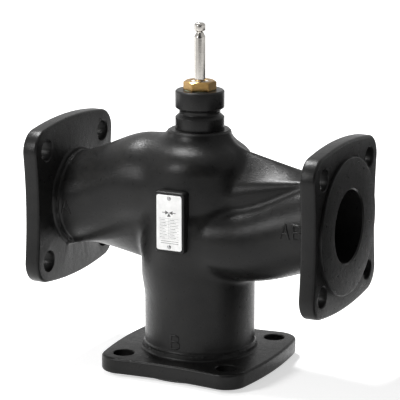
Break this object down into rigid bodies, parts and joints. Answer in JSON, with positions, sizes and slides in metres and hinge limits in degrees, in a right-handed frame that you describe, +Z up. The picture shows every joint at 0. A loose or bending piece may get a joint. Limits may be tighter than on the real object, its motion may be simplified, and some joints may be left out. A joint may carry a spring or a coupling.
{
  "type": "three-way flanged control valve",
  "caption": "Three-way flanged valve in black cast iron with square flanges, a threaded-in neck, a brass gland nut and a lifting stem that moves a double plug between two seats.",
  "frame": {"origin": "middle of the sealing face of port B, the bottom flange, on the stem axis", "axes": "+Z up along the stem, +X towards port AB, -X towards port A, -Y towards the side that carries the type plate"},
  "size_m": [0.29, 0.1424, 0.314],
  "materials": {
    "iron": "satin black paint over sand-cast grey iron",
    "neck_iron": "satin black, turned",
    "stainless": "turned and polished stainless steel",
    "brass": "pale machined brass",
    "bronze": "plain bearing bronze",
    "rubber": "moulded seal rubber",
    "fibre": "pressed fibre gasket",
    "ptfe": "white turned seal plastic",
    "plate": "white printed aluminium plate",
    "rivet": "dull drive rivet"
  },
  "bodies": {
    "housing": {"valve_body": "iron", "upper_seat_ring": "stainless", "lower_seat_ring": "stainless", "lower_seat_gasket": "fibre", "neck": "neck_iron", "neck_gasket": "fibre", "neck_guide_bush": "bronze", "gland_nut": "brass", "gland_gasket": "fibre", "gland_circlip": "stainless", "gland_guide_bush": "bronze", "stem_o_rings": "rubber", "gland_spacer": "stainless", "wiper_ring": "ptfe", "type_plate": "plate", "plate_rivets": "rivet"},
    "stem_set": {"stem": "stainless", "upper_plug": "stainless", "lower_plug": "stainless", "plug_washer": "stainless", "plug_nut": "stainless", "plug_pin": "stainless"}
  },
  "joints": [
    {"name": "stem_lift", "type": "slide", "parent": "housing", "child": "stem_set", "axis": [0, 0, 1], "range_m": [-0.02, 0]}
  ]
}
